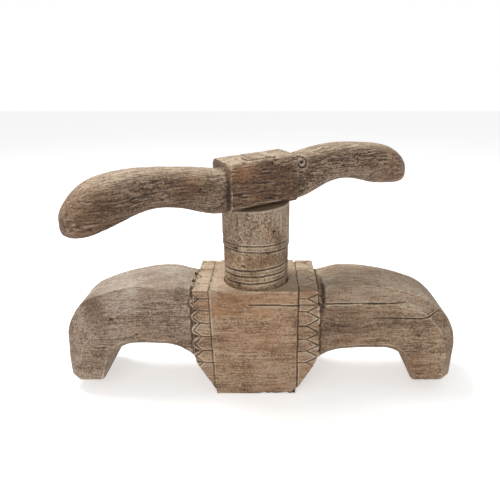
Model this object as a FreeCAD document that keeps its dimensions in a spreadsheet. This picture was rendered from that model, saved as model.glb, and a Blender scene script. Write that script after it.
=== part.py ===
import FreeCAD, Part
import math
import os
import re

import Sketcher
from FreeCAD import Placement, Rotation, Vector

# Hand-carved wooden nutcracker: a round plunger with a cross handle drops into a
# blind bore in a one-piece body that stands on its middle block. A nut sits on an
# iron anvil in the narrow well; the iron foot under the plunger cracks it.
# Frame: origin on the bore axis at the block's underside, +Z up, +X along the
# body's arms, -Y the front. All lengths in millimetres.

doc = FreeCAD.newDocument("nutcracker")
sheet = doc.addObject("Spreadsheet::Sheet", "Dims")

DIMENSIONS = [
    # middle block of the body, measured from the bore axis
    ("block_half_width", "40 mm"),
    ("block_front", "36 mm"),
    ("block_back", "54 mm"),
    ("block_height", "113.5 mm"),
    # stepped bore: guide bore for the plunger, narrow well for the nut
    ("bore_radius", "32.3 mm"),
    ("ledge_height", "60 mm"),
    ("well_radius", "23 mm"),
    ("well_floor", "24 mm"),
    # carved bands on both shoulders
    ("band_width", "20.5 mm"),
    ("band_front", "35.2 mm"),
    ("band_back", "49.5 mm"),
    ("band_top", "114.5 mm"),
    ("band_foot", "3 mm"),
    ("band_heel", "37 mm"),
    ("left_seam", "44.4 mm"),
    ("right_seam", "40 mm"),
    ("seam_width", "1.8 mm"),
    ("seam_depth", "2.2 mm"),
    ("groove_height", "1.6 mm"),
    ("groove_depth", "1.6 mm"),
    ("groove_pitch", "13.9 mm"),
    ("groove_first", "36 mm"),
    ("groove_count", "6"),
    ("chip_reach", "7 mm"),
    ("chip_height", "9.5 mm"),
    ("crest_pitch", "19.5 mm"),
    ("crest_first", "36.5 mm"),
    ("crest_count", "4"),
    # arms of the body
    ("arm_front", "32.5 mm"),
    ("arm_back", "43 mm"),
    ("arm_top", "116.5 mm"),
    ("arm_dip", "8.5 mm"),
    ("dip_end", "84 mm"),
    ("left_reach", "193 mm"),
    ("right_reach", "202 mm"),
    ("left_turn_x", "166 mm"),
    ("right_turn_x", "164 mm"),
    ("left_turn_z", "98 mm"),
    ("right_turn_z", "102.5 mm"),
    ("left_flank_z", "52 mm"),
    ("right_flank_z", "50 mm"),
    ("left_back_radius", "200 mm"),
    ("right_back_radius", "228 mm"),
    ("left_flank_radius", "49 mm"),
    ("right_flank_radius", "59 mm"),
    ("leg_bottom", "14 mm"),
    ("arm_chamfer", "12 mm"),
    ("back_chamfer", "7 mm"),
    ("arch_chamfer", "6 mm"),
    ("arch_chamfer_depth", "5 mm"),
    # arches under the arms
    ("arch_inner_x", "43 mm"),
    ("arch_inner_z", "8 mm"),
    ("arch_haunch_x", "57 mm"),
    ("arch_haunch_z", "33 mm"),
    ("left_crown", "54.5 mm"),
    ("right_crown", "49.5 mm"),
    ("crown_start", "86 mm"),
    ("crown_end", "122 mm"),
    ("arch_knee_z", "37 mm"),
    ("left_leg", "155 mm"),
    ("right_leg", "158 mm"),
    ("leg_rake", "7 mm"),
    ("arch_haunch_radius", "48 mm"),
    ("arch_knee_radius", "34 mm"),
    ("arch_crown_radius", "240 mm"),
    # plunger shaft
    ("shaft_radius", "32 mm"),
    ("neck_radius", "33 mm"),
    ("neck_start", "151 mm"),
    ("nose_radius", "21 mm"),
    ("nose_length", "14 mm"),
    ("head_bottom", "192.3 mm"),
    ("head_top", "237.6 mm"),
    ("head_slope", "0.066"),
    ("ring_depth", "1.5 mm"),
    ("tenon_half", "14 mm"),
    ("kerf_half", "1.6 mm"),
    ("kerf_spread", "7 mm"),
    ("kerf_depth", "24 mm"),
    # cross handle
    ("handle_yaw", "27 deg"),
    ("head_half_length", "35 mm"),
    ("head_half_width", "23 mm"),
    ("head_round", "7 mm"),
    ("head_bevel", "4 mm"),
    # peg through the back of the head and the tenon
    ("peg_radius", "4 mm"),
    ("peg_height", "207 mm"),
    ("peg_reach", "16 mm"),
    # iron pieces
    ("anvil_radius", "22.6 mm"),
    ("anvil_thickness", "4 mm"),
    ("nail_circle", "15 mm"),
    ("nail_radius", "1.6 mm"),
    ("nail_head_radius", "3.4 mm"),
    ("nail_length", "16 mm"),
    ("foot_radius", "20.5 mm"),
    ("foot_thickness", "4.5 mm"),
    ("pin_radius", "3 mm"),
    ("pin_clearance", "0.05 mm"),
    ("pin_head_radius", "6 mm"),
    ("pin_length", "34 mm"),
]

# Ring grooves on the plunger: height, half width of the cut, tilt of the ring.
RINGS = [
    ("ring_upper", 157.5, 0.7, 0.6),
    ("ring_lower", 151.6, 1.3, -1.2),
    ("ring_a", 133.0, 1.1, 4.2),
    ("ring_b", 126.6, 1.1, 2.6),
    ("ring_c", 119.6, 1.1, 2.4),
]

# Sections of the handle's two arms: distance from the bore axis along the
# handle, height of the section's middle, half width and half height.
HANDLE_SECTIONS = {
    "left": [
        ("root", 30, 208.0, 17.5, 19.0),
        ("rise", 60, 210.9, 18.0, 20.0),
        ("crest", 102, 216.3, 17.5, 18.0),
        ("swell", 140, 208.7, 19.5, 22.6),
        ("blunt", 161, 201.5, 19.0, 21.0),
        ("cap", 174, 195.5, 14.5, 13.5),
        ("tip", 179, 193.0, 8.0, 7.0),
    ],
    "right": [
        ("root", 30, 214.5, 17.5, 19.5),
        ("rise", 62, 220.4, 18.5, 21.0),
        ("crest", 96, 226.4, 18.0, 18.2),
        ("swell", 134, 221.2, 19.5, 20.8),
        ("blunt", 157, 217.0, 18.5, 19.0),
        ("cap", 171, 212.0, 14.5, 13.5),
        ("tip", 176.5, 209.5, 8.5, 8.0),
    ],
}


def fill_sheet():
    rows = list(DIMENSIONS)
    for name, height, half, tilt in RINGS:
        rows += [(f"{name}_height", f"{height} mm"), (f"{name}_half", f"{half} mm")]
        rows.append((f"{name}_tilt", f"{tilt} deg"))
    for side, sections in HANDLE_SECTIONS.items():
        for name, out, mid, wide, tall in sections:
            stem = f"{side}_{name}"
            rows += [(f"{stem}_out", f"{out} mm"), (f"{stem}_mid", f"{mid} mm")]
            rows += [(f"{stem}_wide", f"{wide} mm"), (f"{stem}_tall", f"{tall} mm")]
    for row, (alias, size) in enumerate(rows, start=1):
        sheet.set(f"A{row}", alias)
        sheet.set(f"B{row}", "=" + size)
        sheet.setAlias(f"B{row}", alias)


def dims(text):
    """Expression text with every alias written as Dims.alias."""
    return re.sub(r"[a-z]+(?:_[a-z]+)+", lambda found: "Dims." + found.group(0), text)


def size(text):
    """Present value of an expression in millimetres or degrees."""
    found = sheet.evalExpression(dims(text))
    return float(getattr(found, "Value", found))


def origin_plane(body, role):
    return next(item for item in body.Origin.OriginFeatures if item.Role == role)


def new_body(name, label, height=None, yaw=None):
    body = doc.addObject("PartDesign::Body", name)
    body.Label = label
    if height:
        body.setExpression("Placement.Base.z", dims(height))
    if yaw:
        body.Placement.Rotation = Rotation(Vector(0, 0, 1), 10)
        body.setExpression("Placement.Rotation.Angle", dims(yaw))
    return body


def new_sketch(body, name, plane, shift=None, turn=None):
    """Sketch on one of the body's own origin planes.

    shift holds expressions for the offset in the sketch's own x, y and normal;
    turn is an expression for its rotation about the normal.
    """
    sketch = body.newObject("Sketcher::SketchObject", name)
    sketch.AttachmentSupport = (origin_plane(body, plane), [""])
    sketch.MapMode = "FlatFace"
    if turn:
        sketch.AttachmentOffset = Placement(Vector(), Rotation(Vector(0, 0, 1), 10))
        sketch.setExpression("AttachmentOffset.Rotation.Angle", dims(turn))
    for axis, text in zip("xyz", shift or ()):
        if text:
            sketch.setExpression(f"AttachmentOffset.Base.{axis}", dims(text))
    return sketch


def pin_point(sketch, geometry, end, where):
    """Hold one end of a sketch element at the two expressions in where."""
    for kind, text in zip(("DistanceX", "DistanceY"), where):
        row = sketch.addConstraint(Sketcher.Constraint(kind, geometry, end, size(text)))
        sketch.setExpression(f"Constraints[{row}]", dims(text))


def arc_between(first, last, radius, turns_left):
    """Arc from first to last with its centre on the left or right of the way."""
    chord = last - first
    reach = math.sqrt(max(radius**2 - (chord.Length / 2) ** 2, 0.0))
    left = Vector(-chord.y, chord.x, 0).normalize()
    centre = (first + last) * 0.5 + left * (reach if turns_left else -reach)
    begin, stop = (first, last) if turns_left else (last, first)
    angles = [math.atan2(p.y - centre.y, p.x - centre.x) for p in (begin, stop)]
    if angles[1] < angles[0]:
        angles[1] += 2 * math.pi
    return Part.ArcOfCircle(Part.Circle(centre, Vector(0, 0, 1), radius), *angles)


def closed_outline(sketch, corners, arcs=None):
    """Closed outline through corners given as expression pairs.

    arcs maps a side's number to (radius expression, centre lies on the left).
    """
    arcs = arcs or {}
    points = [Vector(size(x), size(y), 0) for x, y in corners]
    base = sketch.GeometryCount
    ends = []
    for side, first in enumerate(points):
        last = points[(side + 1) % len(points)]
        if side in arcs:
            radius, left = arcs[side]
            sketch.addGeometry(arc_between(first, last, size(radius), left), False)
            ends.append((1, 2) if left else (2, 1))
        else:
            sketch.addGeometry(Part.LineSegment(first, last), False)
            ends.append((1, 2))
    count = len(points)
    for side in range(count):
        after = (side + 1) % count
        link = Sketcher.Constraint("Coincident", base + side, ends[side][1], base + after, ends[after][0])
        sketch.addConstraint(link)
    for side, corner in enumerate(corners):
        pin_point(sketch, base + side, ends[side][0], corner)
    for side, (radius, _) in arcs.items():
        row = sketch.addConstraint(Sketcher.Constraint("Radius", base + side, size(radius)))
        sketch.setExpression(f"Constraints[{row}]", dims(radius))


def circle_outline(sketch, where, radius):
    centre = Vector(size(where[0]), size(where[1]), 0)
    row = sketch.addGeometry(Part.Circle(centre, Vector(0, 0, 1), size(radius)), False)
    pin_point(sketch, row, 3, where)
    held = sketch.addConstraint(Sketcher.Constraint("Radius", row, size(radius)))
    sketch.setExpression(f"Constraints[{held}]", dims(radius))


def rectangle(x_low, x_high, y_low, y_high):
    return [(x_low, y_low), (x_high, y_low), (x_high, y_high), (x_low, y_high)]


def sketch_feature(body, kind, name, sketch, length=None, flipped=False):
    """Pad or pocket of a sketch by a length expression, or through everything."""
    feature = body.newObject(f"PartDesign::{kind}", name)
    feature.Profile = sketch
    feature.Reversed = flipped
    if length:
        feature.setExpression("Length", dims(length))
    else:
        feature.Type = "ThroughAll"
    sketch.Visibility = False
    return feature


def turned_feature(body, kind, name, sketch):
    """Full turn of a sketch about its own upright axis, added or cut away."""
    feature = body.newObject(f"PartDesign::{kind}", name)
    feature.Profile = sketch
    feature.ReferenceAxis = (sketch, ["V_Axis"])
    feature.Angle = 360
    sketch.Visibility = False
    return feature


def checked(feature, before):
    """Recompute and make sure a cut really removed material."""
    doc.recompute()
    after = feature.Shape.Volume
    if not after < before - 1e-3:
        raise RuntimeError(f"{feature.Label} removed nothing")
    return after


def loft_feature(body, name, sketches, ruled=False):
    feature = body.newObject("PartDesign::AdditiveLoft", name)
    feature.Profile = sketches[0]
    feature.Sections = sketches[1:]
    feature.Ruled = ruled
    for sketch in sketches:
        sketch.Visibility = False
    doc.recompute()
    return feature


def arm_outline(side, inset, grow):
    """Side view of one arm: top with a dip by the band, falling back, round flank, leg, arch.

    inset draws the outer line inwards and grow opens the arch, for the hewn rims.
    """
    top = f"arm_top - {inset}"
    outer = f"{side}_reach - {inset}"
    crown = f"{side}_crown + {grow}"
    leg = f"{side}_leg + {grow} * 0.3"
    corners = [
        ("block_half_width - 6 mm", f"{top} - arm_dip"),
        ("block_half_width + band_width - 4 mm", f"{top} - arm_dip"),
        ("dip_end", top),
        (f"{side}_turn_x - {inset} * 0.45", f"{side}_turn_z - {inset} * 0.9"),
        (outer, f"{side}_flank_z"),
        (f"{outer} - 1.5 mm", "leg_bottom"),
        (leg, "leg_bottom"),
        (f"{leg} - leg_rake", f"arch_knee_z + {grow} * 0.6"),
        ("crown_end", f"{crown} - 1 mm"),
        ("crown_start", f"{crown} - 2 mm"),
        ("arch_haunch_x", f"arch_haunch_z + {grow} * 0.3"),
        ("arch_inner_x", "arch_inner_z"),
        ("block_half_width - 6 mm", "arch_inner_z"),
    ]
    arcs = {
        2: (f"{side}_back_radius - {inset}", False),
        3: (f"{side}_flank_radius - {inset}", False),
        7: ("arch_knee_radius", True),
        8: ("arch_crown_radius", True),
        9: ("arch_haunch_radius", True),
    }
    if side == "left":
        corners = [(f"-( {x} )", z) for x, z in corners]
        arcs = {number: (radius, not left) for number, (radius, left) in arcs.items()}
    return corners, arcs


def band_outline(sign):
    outer = "block_half_width + band_width"
    corners = [
        ("block_half_width - 6 mm", "band_foot"),
        ("block_half_width", "band_foot"),
        (outer, "band_heel"),
        (outer, "band_top"),
        ("block_half_width - 6 mm", "band_top"),
    ]
    return corners if sign > 0 else [(f"-( {x} )", z) for x, z in corners]


def build_press_body():
    body = new_body("press_body", "press body")

    base = new_sketch(body, "BlockPlan", "XY_Plane")
    closed_outline(base, rectangle("-block_half_width", "block_half_width", "-block_front", "block_back"))
    sketch_feature(body, "Pad", "Block", base, "block_height")

    stations = [
        ("arm_back", "back_chamfer", "back_chamfer * 0.5"),
        ("arm_back - back_chamfer", "0 mm", "0 mm"),
        ("-( arm_front - arm_chamfer )", "0 mm", "0 mm"),
        ("-( arm_front - arch_chamfer_depth )", "( arm_chamfer - arch_chamfer_depth )", "0 mm"),
        ("-arm_front", "arm_chamfer", "arch_chamfer"),
    ]
    for side in ("right", "left"):
        sketches = []
        for number, (depth, inset, grow) in enumerate(stations):
            name = f"{side.title()}ArmSide{number}"
            sketch = new_sketch(body, name, "XZ_Plane", (None, None, f"-( {depth} )"))
            closed_outline(sketch, *arm_outline(side, inset, grow))
            sketches.append(sketch)
        loft_feature(body, f"{side.title()}ArmLoft", sketches, ruled=True)

    for side, sign in (("Right", 1), ("Left", -1)):
        band = new_sketch(body, f"{side}BandSide", "XZ_Plane", (None, None, "-band_back"))
        closed_outline(band, band_outline(sign))
        sketch_feature(body, "Pad", f"{side}Band", band, "band_back + band_front")
        doc.recompute()

    volume = body.Tip.Shape.Volume
    carve_bands(body, volume)

    volume = body.Tip.Shape.Volume
    bore = new_sketch(body, "BoreHalf", "XZ_Plane")
    corners = [
        ("0 mm", "well_floor"),
        ("well_radius", "well_floor"),
        ("well_radius", "ledge_height"),
        ("bore_radius", "ledge_height"),
        ("bore_radius", "block_height + 4 mm"),
        ("0 mm", "block_height + 4 mm"),
    ]
    closed_outline(bore, corners)
    volume = checked(turned_feature(body, "Groove", "SteppedBore", bore), volume)

    pilots = new_sketch(body, "NailPilots", "XY_Plane", (None, None, "well_floor"))
    for where in nail_places():
        circle_outline(pilots, where, "nail_radius")
    checked(sketch_feature(body, "Pocket", "Pilots", pilots, "nail_length - anvil_thickness"), volume)
    return body


def carve_bands(body, volume):
    """Seam beside the block, level grooves and three-cornered chips on both bands."""
    z_axis = next(item for item in body.Origin.OriginFeatures if item.Role == "Z_Axis")
    y_axis = next(item for item in body.Origin.OriginFeatures if item.Role == "Y_Axis")
    faces = (
        ("Front", "band_front", False),
        ("Back", "-band_back", True),
    )
    for face, plane, flipped in faces:
        seams = new_sketch(body, f"{face}SeamLines", "XZ_Plane", (None, None, plane))
        grooves = new_sketch(body, f"{face}GrooveLines", "XZ_Plane", (None, None, plane))
        for sign in ("", "-"):
            seam_start = "left_seam" if sign else "right_seam"
            seam = [seam_start, f"{seam_start} + seam_width"]
            line = ["block_half_width", "block_half_width + band_width - chip_reach"]
            tip = ["block_half_width + band_width - chip_reach", "block_half_width + band_width + 1 mm"]
            if sign:
                seam, line, tip = ([f"-( {x} )" for x in pair] for pair in (seam, line, tip))
            closed_outline(seams, rectangle(seam[0], seam[1], "band_foot - 1 mm", "band_top + 1 mm"))
            low, high = "groove_first - groove_height / 2", "groove_first + groove_height / 2"
            corners = [
                (line[0], low),
                (tip[0], low),
                (tip[1], "groove_first - chip_height / 2"),
                (tip[1], "groove_first + chip_height / 2"),
                (tip[0], high),
                (line[0], high),
            ]
            closed_outline(grooves, corners)
        volume = checked(sketch_feature(body, "Pocket", f"{face}Seams", seams, "seam_depth", flipped), volume)
        cut = sketch_feature(body, "Pocket", f"{face}Grooves", grooves, "groove_depth", flipped)
        volume = checked(cut, volume)
        rows = body.newObject("PartDesign::LinearPattern", f"{face}GrooveRows")
        rows.Originals = [cut]
        rows.Direction = (z_axis, [""])
        rows.setExpression("Length", dims("groove_pitch * ( groove_count - 1 )"))
        rows.setExpression("Occurrences", dims("groove_count"))
        body.Tip = rows
        volume = checked(rows, volume)

    crest = new_sketch(body, "CrestLines", "XY_Plane", (None, None, "band_top"))
    for sign in ("", "-"):
        line = ["block_half_width", "block_half_width + band_width + 1 mm"]
        if sign:
            line = [f"-( {x} )" for x in line]
        low, high = "crest_first - groove_height / 2", "crest_first + groove_height / 2"
        closed_outline(crest, rectangle(line[0], line[1], low, high))
    cut = sketch_feature(body, "Pocket", "CrestGrooves", crest, "groove_depth")
    volume = checked(cut, volume)
    rows = body.newObject("PartDesign::LinearPattern", "CrestRows")
    rows.Originals = [cut]
    rows.Direction = (y_axis, [""])
    rows.Reversed = True
    rows.setExpression("Length", dims("crest_pitch * ( crest_count - 1 )"))
    rows.setExpression("Occurrences", dims("crest_count"))
    body.Tip = rows
    checked(rows, volume)


def nail_places():
    """Three places on the anvil's nail circle, 120 degrees apart."""
    turns = (90, 210, 330)
    return [(f"nail_circle * cos( {turn} deg )", f"nail_circle * sin( {turn} deg )") for turn in turns]


def build_anvil_plate():
    body = new_body("anvil_plate", "anvil plate", "well_floor")
    disc = new_sketch(body, "AnvilPlan", "XY_Plane")
    circle_outline(disc, ("0 mm", "0 mm"), "anvil_radius")
    sketch_feature(body, "Pad", "AnvilDisc", disc, "anvil_thickness")
    doc.recompute()
    volume = body.Tip.Shape.Volume
    holes = new_sketch(body, "AnvilHoles", "XY_Plane", (None, None, "anvil_thickness"))
    for where in nail_places():
        circle_outline(holes, where, "nail_head_radius")
    checked(sketch_feature(body, "Pocket", "NailHoles", holes), volume)
    return body


def build_anvil_nails():
    """Three clout nails: a broad flat head set into the plate and a tapering point."""
    solids = []
    for number, (x, y) in enumerate(nail_places()):
        head = doc.addObject("Part::Cylinder", f"NailHead{number}")
        head.setExpression("Radius", dims("nail_head_radius"))
        head.setExpression("Height", dims("anvil_thickness"))
        head.setExpression("Placement.Base.z", dims("well_floor"))
        shank = doc.addObject("Part::Cylinder", f"NailShank{number}")
        shank.setExpression("Radius", dims("nail_radius"))
        shank.setExpression("Height", dims("( nail_length - anvil_thickness ) * 0.8"))
        shank.setExpression("Placement.Base.z", dims("well_floor - ( nail_length - anvil_thickness ) * 0.8"))
        point = doc.addObject("Part::Cone", f"NailPoint{number}")
        point.setExpression("Radius2", dims("nail_radius"))
        point.setExpression("Radius1", dims("nail_radius * 0.2"))
        point.setExpression("Height", dims("( nail_length - anvil_thickness ) * 0.2"))
        point.setExpression("Placement.Base.z", dims("well_floor - nail_length + anvil_thickness"))
        for solid in (head, shank, point):
            solid.setExpression("Placement.Base.x", dims(x))
            solid.setExpression("Placement.Base.y", dims(y))
        nail = doc.addObject("Part::MultiFuse", f"Nail{number}")
        nail.Shapes = [head, shank, point]
        solids.append(nail)
    nails = doc.addObject("Part::Compound", "anvil_nails")
    nails.Links = solids
    nails.Label = "anvil nails"
    return nails


def build_plunger_shaft():
    """Turned shaft standing on its shoulder, with a narrower nose and a square tenon."""
    body = new_body("plunger_shaft", "plunger shaft", "ledge_height")
    profile = new_sketch(body, "ShaftHalf", "XZ_Plane")
    neck_end = "head_bottom + neck_radius * head_slope + 1 mm - ledge_height"
    corners = [
        ("0 mm", "-nose_length"),
        ("nose_radius - 1 mm", "-nose_length"),
        ("nose_radius", "-nose_length + 1 mm"),
        ("nose_radius", "0 mm"),
        ("shaft_radius", "0 mm"),
        ("shaft_radius", "neck_start - ledge_height"),
        ("neck_radius", "neck_start - ledge_height + 1 mm"),
        ("neck_radius", neck_end),
        ("0 mm", neck_end),
    ]
    closed_outline(profile, corners)
    turned = turned_feature(body, "Revolution", "Turned", profile)
    doc.recompute()
    volume = turned.Shape.Volume

    for name, _, _, _ in RINGS:
        shift = (None, f"{name}_height - ledge_height", None)
        sketch = new_sketch(body, name.title().replace("_", "") + "Cut", "XZ_Plane", shift, f"{name}_tilt")
        outer, inner = "neck_radius + 1 mm", "shaft_radius - ring_depth"
        opening = f"{name}_half * 1.6"
        closed_outline(sketch, [(inner, "0 mm"), (outer, f"-{opening}"), (outer, opening)])
        ring = turned_feature(body, "Groove", name.title().replace("_", ""), sketch)
        volume = checked(ring, volume)

    volume = checked(slanted_cut(body, "NeckShoulder", "head_bottom"), volume)
    lift = (None, None, "head_bottom - 8 mm - ledge_height")
    tenon = new_sketch(body, "TenonPlan", "XY_Plane", lift, "handle_yaw")
    closed_outline(tenon, rectangle("-tenon_half", "tenon_half", "-tenon_half", "tenon_half"))
    sketch_feature(body, "Pad", "Tenon", tenon, "head_top - head_bottom + 12 mm")
    doc.recompute()
    volume = body.Tip.Shape.Volume
    volume = checked(slanted_cut(body, "TenonEnd", "head_top"), volume)

    # two V kerfs across the tenon take the wedges; they spread it along the handle
    kerfs = yawed_side_sketch(body, "KerfSide", "head_top - ledge_height")
    for sign in ("", "-"):
        closed_outline(kerfs, kerf_corners(sign))
    cut = sketch_feature(body, "Pocket", "Kerfs", kerfs, "4 * tenon_half")
    cut.SideType = "Symmetric"
    volume = checked(cut, volume)

    hole = yawed_side_sketch(body, "TenonPegHole", "peg_height - ledge_height")
    circle_outline(hole, ("0 mm", "0 mm"), "peg_radius")
    cut = sketch_feature(body, "Pocket", "PegHole", hole, "4 * tenon_half")
    cut.SideType = "Symmetric"
    volume = checked(cut, volume)

    pin_hole = new_sketch(body, "PinHolePlan", "XY_Plane", (None, None, "-nose_length - 1 mm"))
    circle_outline(pin_hole, ("0 mm", "0 mm"), "pin_radius")
    cut = sketch_feature(body, "Pocket", "PinHole", pin_hole, "pin_length - foot_thickness + 1 mm", True)
    checked(cut, volume)
    return body


def yawed_side_sketch(body, name, height):
    """Upright sketch along the handle's direction, at a height in the shaft's body."""
    sketch = new_sketch(body, name, "XZ_Plane")
    sketch.AttachmentOffset = Placement(Vector(), Rotation(Vector(0, 1, 0), 10))
    sketch.setExpression("AttachmentOffset.Rotation.Angle", dims("handle_yaw"))
    sketch.setExpression("AttachmentOffset.Base.y", dims(height))
    return sketch


def slanted_cut(body, name, height):
    """Cut away everything above the slanted line that the head sits on or ends at."""
    sketch = yawed_side_sketch(body, name + "Line", f"{height} - ledge_height")
    far = "2 * neck_radius"
    corners = [
        (f"-{far}", f"-{far} * head_slope"),
        (far, f"{far} * head_slope"),
        (far, far),
        (f"-{far}", far),
    ]
    closed_outline(sketch, corners)
    cut = sketch_feature(body, "Pocket", name, sketch, "6 * neck_radius")
    cut.SideType = "Symmetric"
    return cut


def kerf_corners(sign):
    """V cut to one side of the tenon's middle, open at the tenon's slanted end."""
    middle = "kerf_spread" if not sign else "-kerf_spread"
    left, right = f"{middle} - kerf_half", f"{middle} + kerf_half"
    return [
        (middle, f"( {middle} ) * head_slope - kerf_depth"),
        (right, f"( {right} ) * head_slope"),
        (left, f"( {left} ) * head_slope"),
    ]


def rounded_section(sketch, wide, tall):
    """Soft-cornered section: corner radius follows the smaller half size."""
    soft = f"min( {wide} ; {tall} ) * 0.78"
    flat_x = f"{wide} - {soft}"
    flat_y = f"{tall} - {soft}"
    corners = [
        (wide, f"-( {flat_y} )"),
        (wide, flat_y),
        (flat_x, tall),
        (f"-( {flat_x} )", tall),
        (f"-{wide}", flat_y),
        (f"-{wide}", f"-( {flat_y} )"),
        (f"-( {flat_x} )", f"-{tall}"),
        (flat_x, f"-{tall}"),
    ]
    closed_outline(sketch, corners, {side: (soft, True) for side in (1, 3, 5, 7)})


def head_section():
    """Section of the head: bevelled lower edges, rounded upper edges."""
    wide, low, high = "head_half_width", "head_bottom", "head_top"
    corners = [
        (f"-( {wide} - head_bevel )", low),
        (f"{wide} - head_bevel", low),
        (wide, f"{low} + head_bevel"),
        (wide, f"{high} - head_round"),
        (f"{wide} - head_round", high),
        (f"-( {wide} - head_round )", high),
        (f"-{wide}", f"{high} - head_round"),
        (f"-{wide}", f"{low} + head_bevel"),
    ]
    return corners, {3: ("head_round", True), 5: ("head_round", True)}


def build_cross_handle():
    """Head block with a mortise and two carved arms, lofted from end to end."""
    body = new_body("cross_handle", "cross handle", None, "handle_yaw")
    ends = []
    for end, sign in (("Left", "-"), ("Right", "")):
        out = f"{sign}head_half_length"
        rise = f"{sign}head_half_length * head_slope"
        sketch = new_sketch(body, f"Head{end}End", "YZ_Plane", (None, rise, out))
        closed_outline(sketch, *head_section())
        ends.append(sketch)
    loft_feature(body, "Head", ends, ruled=True)

    for side, sections in HANDLE_SECTIONS.items():
        sketches = []
        for name, _, _, _, _ in sections:
            stem = f"{side}_{name}"
            out = f"{stem}_out" if side == "right" else f"-{stem}_out"
            sketch = new_sketch(body, stem.title().replace("_", ""), "YZ_Plane", (None, f"{stem}_mid", out))
            rounded_section(sketch, f"{stem}_wide", f"{stem}_tall")
            sketches.append(sketch)
        loft_feature(body, f"{side.title()}Arm", sketches)

    volume = body.Tip.Shape.Volume
    mortise = new_sketch(body, "MortisePlan", "XY_Plane", (None, None, "head_top + 4 mm"))
    closed_outline(mortise, rectangle("-tenon_half", "tenon_half", "-tenon_half", "tenon_half"))
    cut = sketch_feature(body, "Pocket", "Mortise", mortise, "head_top - head_bottom + 12 mm")
    volume = checked(cut, volume)

    peg = new_sketch(body, "HeadPegCircle", "XZ_Plane", (None, "peg_height", "-head_half_width - 2 mm"))
    circle_outline(peg, ("0 mm", "0 mm"), "peg_radius")
    cut = sketch_feature(body, "Pocket", "HeadPegHole", peg, "head_half_width + 2 mm + peg_reach", True)
    checked(cut, volume)
    return body


def build_tenon_wedges():
    """Two thin wedges, one for each kerf of the tenon."""
    body = new_body("tenon_wedges", "tenon wedges", "head_top", "handle_yaw")
    body.AllowCompound = True
    side = new_sketch(body, "WedgeSide", "XZ_Plane")
    for sign in ("", "-"):
        closed_outline(side, kerf_corners(sign))
    pad = sketch_feature(body, "Pad", "Wedges", side, "2 * tenon_half")
    pad.SideType = "Symmetric"
    return body


def build_handle_peg():
    """Round peg driven in from the back of the head, through the tenon."""
    body = new_body("handle_peg", "handle peg", "peg_height", "handle_yaw")
    plan = new_sketch(body, "PegPlan", "XZ_Plane", (None, None, "-head_half_width"))
    circle_outline(plan, ("0 mm", "0 mm"), "peg_radius")
    sketch_feature(body, "Pad", "Peg", plan, "head_half_width + peg_reach")
    return body


def build_crusher_foot():
    """Iron disc under the nose, with a countersunk hole for its pin."""
    body = new_body("crusher_foot", "crusher foot", "ledge_height - nose_length - foot_thickness")
    profile = new_sketch(body, "FootHalf", "XZ_Plane")
    hole = "pin_radius + pin_clearance"
    corners = [
        ("pin_head_radius + pin_clearance", "0 mm"),
        ("foot_radius - 1.2 mm", "0 mm"),
        ("foot_radius", "1.2 mm"),
        ("foot_radius", "foot_thickness"),
        (hole, "foot_thickness"),
        (hole, "pin_head_radius - pin_radius"),
    ]
    closed_outline(profile, corners)
    turned_feature(body, "Revolution", "FootDisc", profile)
    return body


def build_foot_pin():
    """Countersunk pin driven up into the nose; the foot turns freely on it."""
    body = new_body("foot_pin", "foot pin", "ledge_height - nose_length - foot_thickness")
    profile = new_sketch(body, "PinHalf", "XZ_Plane")
    corners = [
        ("0 mm", "0 mm"),
        ("pin_head_radius", "0 mm"),
        ("pin_radius", "pin_head_radius - pin_radius"),
        ("pin_radius", "pin_length - 6 mm"),
        ("pin_radius * 0.25", "pin_length"),
        ("0 mm", "pin_length"),
    ]
    closed_outline(profile, corners)
    turned_feature(body, "Revolution", "Pin", profile)
    return body


def check_and_export(nodes):
    doc.recompute()
    for item in doc.Objects:
        if any(flag in item.State for flag in ("Invalid", "Error")):
            raise RuntimeError(f"{item.Name} ({item.Label}) is {item.State}")
    os.makedirs("parts", exist_ok=True)
    for name, item in nodes.items():
        shape = item.Shape
        if shape.isNull() or not shape.isValid():
            raise RuntimeError(f"{name} has no valid shape")
        shape.exportStep(f"parts/{name}.step")
        box = shape.BoundBox
        spans = [(box.XMin, box.XMax), (box.YMin, box.YMax), (box.ZMin, box.ZMax)]
        room = "  ".join(f"{axis} {low:7.1f} {high:7.1f}" for axis, (low, high) in zip("xyz", spans))
        print(f"{name:14s} solids {len(shape.Solids)}  volume {shape.Volume / 1000:9.2f} cm3  {room}")


fill_sheet()
doc.recompute()
nodes = {
    "press_body": build_press_body(),
    "anvil_plate": build_anvil_plate(),
    "anvil_nails": build_anvil_nails(),
    "plunger_shaft": build_plunger_shaft(),
    "cross_handle": build_cross_handle(),
    "tenon_wedges": build_tenon_wedges(),
    "handle_peg": build_handle_peg(),
    "crusher_foot": build_crusher_foot(),
    "foot_pin": build_foot_pin(),
}
check_and_export(nodes)
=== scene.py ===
import itertools
import math

import bpy
import numpy as np
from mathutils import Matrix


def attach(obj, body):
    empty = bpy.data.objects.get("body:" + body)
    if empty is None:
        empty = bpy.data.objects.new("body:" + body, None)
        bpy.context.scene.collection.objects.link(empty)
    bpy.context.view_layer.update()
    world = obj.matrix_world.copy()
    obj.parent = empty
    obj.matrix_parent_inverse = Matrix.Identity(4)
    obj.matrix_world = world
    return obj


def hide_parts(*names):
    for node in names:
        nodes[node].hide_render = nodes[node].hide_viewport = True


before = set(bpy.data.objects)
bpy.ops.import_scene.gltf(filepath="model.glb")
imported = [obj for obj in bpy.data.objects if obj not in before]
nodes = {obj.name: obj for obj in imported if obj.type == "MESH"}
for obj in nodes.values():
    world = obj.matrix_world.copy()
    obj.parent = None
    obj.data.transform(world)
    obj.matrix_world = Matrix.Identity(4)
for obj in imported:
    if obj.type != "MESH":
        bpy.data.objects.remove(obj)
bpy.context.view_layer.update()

MM = 0.001
HANDLE_YAW = 27.0


# ------------------------------------------------------------------ random fields

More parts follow.
